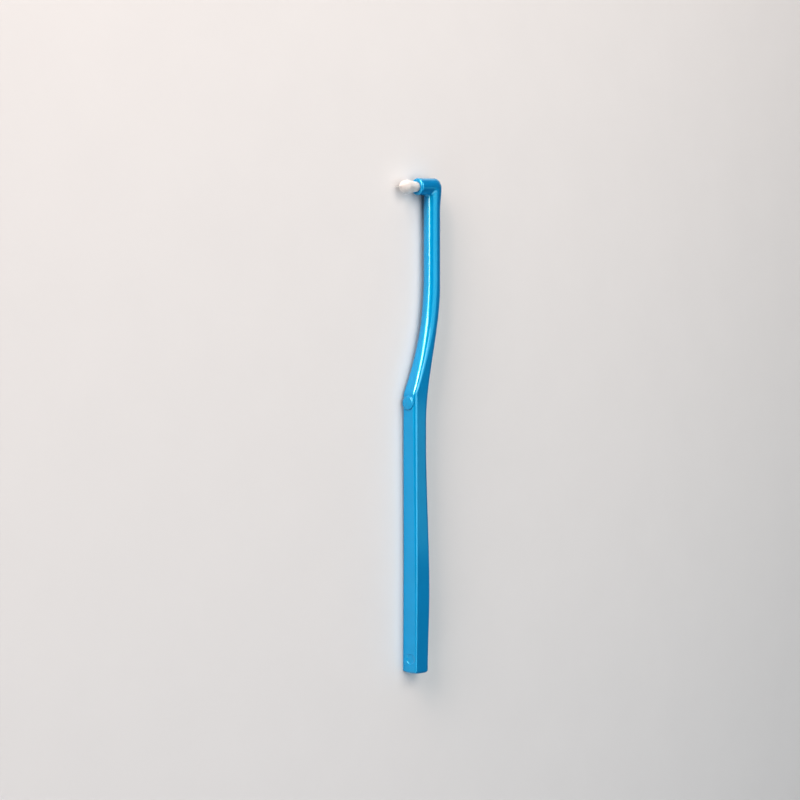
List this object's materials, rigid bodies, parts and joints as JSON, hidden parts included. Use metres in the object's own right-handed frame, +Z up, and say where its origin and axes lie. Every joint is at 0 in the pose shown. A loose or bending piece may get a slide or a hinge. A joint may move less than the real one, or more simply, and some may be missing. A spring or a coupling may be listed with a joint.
{
  "type": "single-tuft interdental brush",
  "caption": "Slim one-piece plastic handle with flat-sided grip, set-back round neck and elbow head holding one pointed tuft of nylon filaments.",
  "frame": {"origin": "on the surface the brush lies on, under the middle of its box", "axes": "+X along the handle towards the head, +Y the way the tuft points, +Z up, square to the flat side it lies on"},
  "size_m": [0.1805, 0.0239, 0.0066],
  "materials": {
    "handle_plastic": "pearlescent blue, glossy moulding",
    "anchor_metal": "stamped, plain",
    "filament": "white nylon filament, satin"
  },
  "bodies": {
    "root": {"handle": "handle_plastic", "tuft_anchor": "anchor_metal", "tuft_filaments": "filament", "point_filaments": "filament"}
  },
  "joints": []
}
